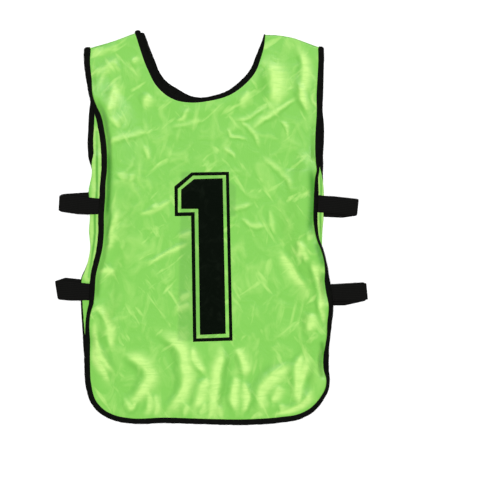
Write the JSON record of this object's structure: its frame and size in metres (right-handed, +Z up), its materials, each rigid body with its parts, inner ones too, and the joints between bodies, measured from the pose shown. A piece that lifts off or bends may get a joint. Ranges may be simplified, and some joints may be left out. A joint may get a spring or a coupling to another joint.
{
  "type": "mesh training bib",
  "caption": "Sleeveless pull-on sports training bib laid flat: front and back panels with bound edges, a scooped neck and elastic side loops.",
  "frame": {"origin": "centre of the bib's outline, on the surface that it lies on", "axes": "+Y towards the neck, +X to the right of someone who looks down on the front, +Z up out of the front"},
  "size_m": [0.4291, 0.5393, 0.0143],
  "materials": {
    "lime_cloth": "satin polyester cloth, lime green, with a black number printed on the front",
    "black_tape": "matt folded binding tape, black",
    "black_elastic": "matt ribbed elastic webbing, black"
  },
  "bodies": {
    "root": {"front_panel": "lime_cloth", "back_panel": "lime_cloth", "front_edge_binding": "black_tape", "back_edge_binding": "black_tape", "front_neck_binding": "black_tape", "back_neck_binding": "black_tape", "strap_upper_left": "black_elastic", "strap_lower_left": "black_elastic", "strap_upper_right": "black_elastic", "strap_lower_right": "black_elastic"}
  },
  "joints": []
}
